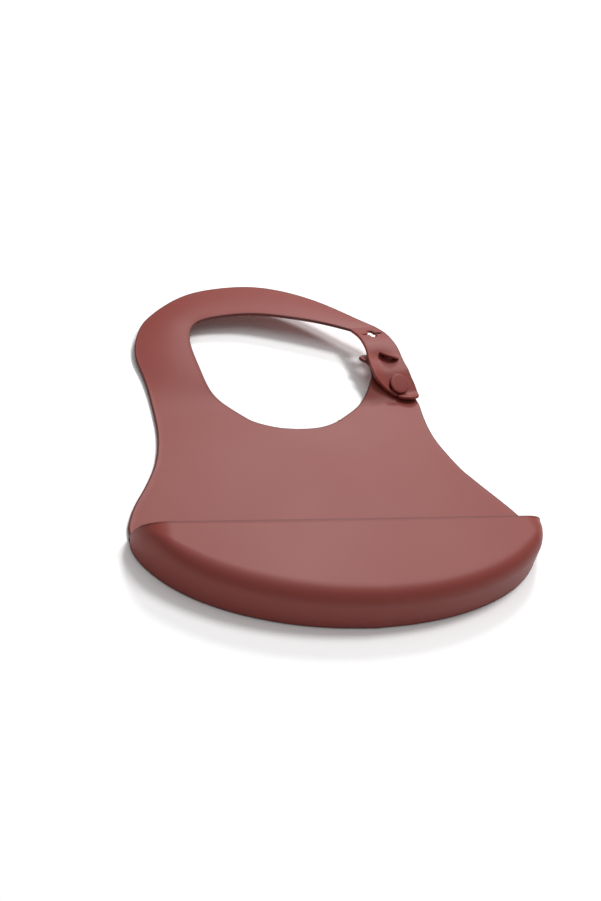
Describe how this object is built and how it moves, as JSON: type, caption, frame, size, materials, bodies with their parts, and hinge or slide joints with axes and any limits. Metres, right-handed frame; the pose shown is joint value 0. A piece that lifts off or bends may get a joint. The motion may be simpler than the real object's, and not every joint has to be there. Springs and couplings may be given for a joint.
{
  "type": "silicone bib",
  "caption": "Soft moulded silicone baby bib with a curved apron, a deep catch pocket along the bottom and a neck strap closed by mushroom studs in buttonholes.",
  "frame": {"origin": "centre of the bounding box, on the floor the bib lies on", "axes": "+X across the bib, to the side with the stud strap; +Y from the pocket up to the neck band; +Z out of the front face, up when the bib lies on its back"},
  "size_m": [0.24, 0.2959, 0.0255],
  "materials": {
    "silicone": "satin moulded silicone, dusty rose",
    "silicone_shade": "satin moulded silicone, dusty rose, on the studs and the thin buttonhole lips"
  },
  "bodies": {
    "base": {"lower_apron": "silicone", "pocket_wall": "silicone"},
    "pocket_panel": {"pocket_front": "silicone", "pocket_rim": "silicone"},
    "upper": {"upper_apron": "silicone"},
    "left_band": {"left_strap": "silicone"},
    "tip": {"strap_tip": "silicone", "buttonhole_lip_1": "silicone_shade", "buttonhole_lip_2": "silicone_shade", "buttonhole_lip_3": "silicone_shade"},
    "right_band": {"right_strap": "silicone", "stud_1": "silicone_shade", "stud_2": "silicone_shade"}
  },
  "joints": [
    {"name": "apron_fold", "type": "hinge", "parent": "base", "child": "upper", "pos_m": [0, -0.04595, 0.002], "axis": [1, 0, 0], "range_deg": [0, 120], "stiffness_Nm_per_rad": 0.02},
    {"name": "pocket_open", "type": "hinge", "parent": "base", "child": "pocket_panel", "pos_m": [0, -0.14795, 0.02215], "axis": [1, 0, 0], "range_deg": [0, 20], "stiffness_Nm_per_rad": 0.1},
    {"name": "left_strap_lift", "type": "hinge", "parent": "upper", "child": "left_band", "pos_m": [-0.065, 0.03358, 0.002], "axis": [0.9819, -0.1892, 0], "range_deg": [0, 60], "stiffness_Nm_per_rad": 0.01, "deforming": ["buttonhole_lip_1", "buttonhole_lip_2"]},
    {"name": "tip_peel", "type": "hinge", "parent": "left_band", "child": "tip", "pos_m": [0.0642, 0.09515, 0.0229], "axis": [-0.9816, -0.1908, 0], "range_deg": [0, 90], "stiffness_Nm_per_rad": 0.005, "deforming": ["buttonhole_lip_1", "buttonhole_lip_2"]},
    {"name": "right_strap_bend", "type": "hinge", "parent": "upper", "child": "right_band", "pos_m": [0.07081, 0.03467, 0], "axis": [0.9816, 0.1908, 0], "range_deg": [-50, 0], "stiffness_Nm_per_rad": 0.1, "deforming": ["buttonhole_lip_1", "buttonhole_lip_2"]}
  ]
}
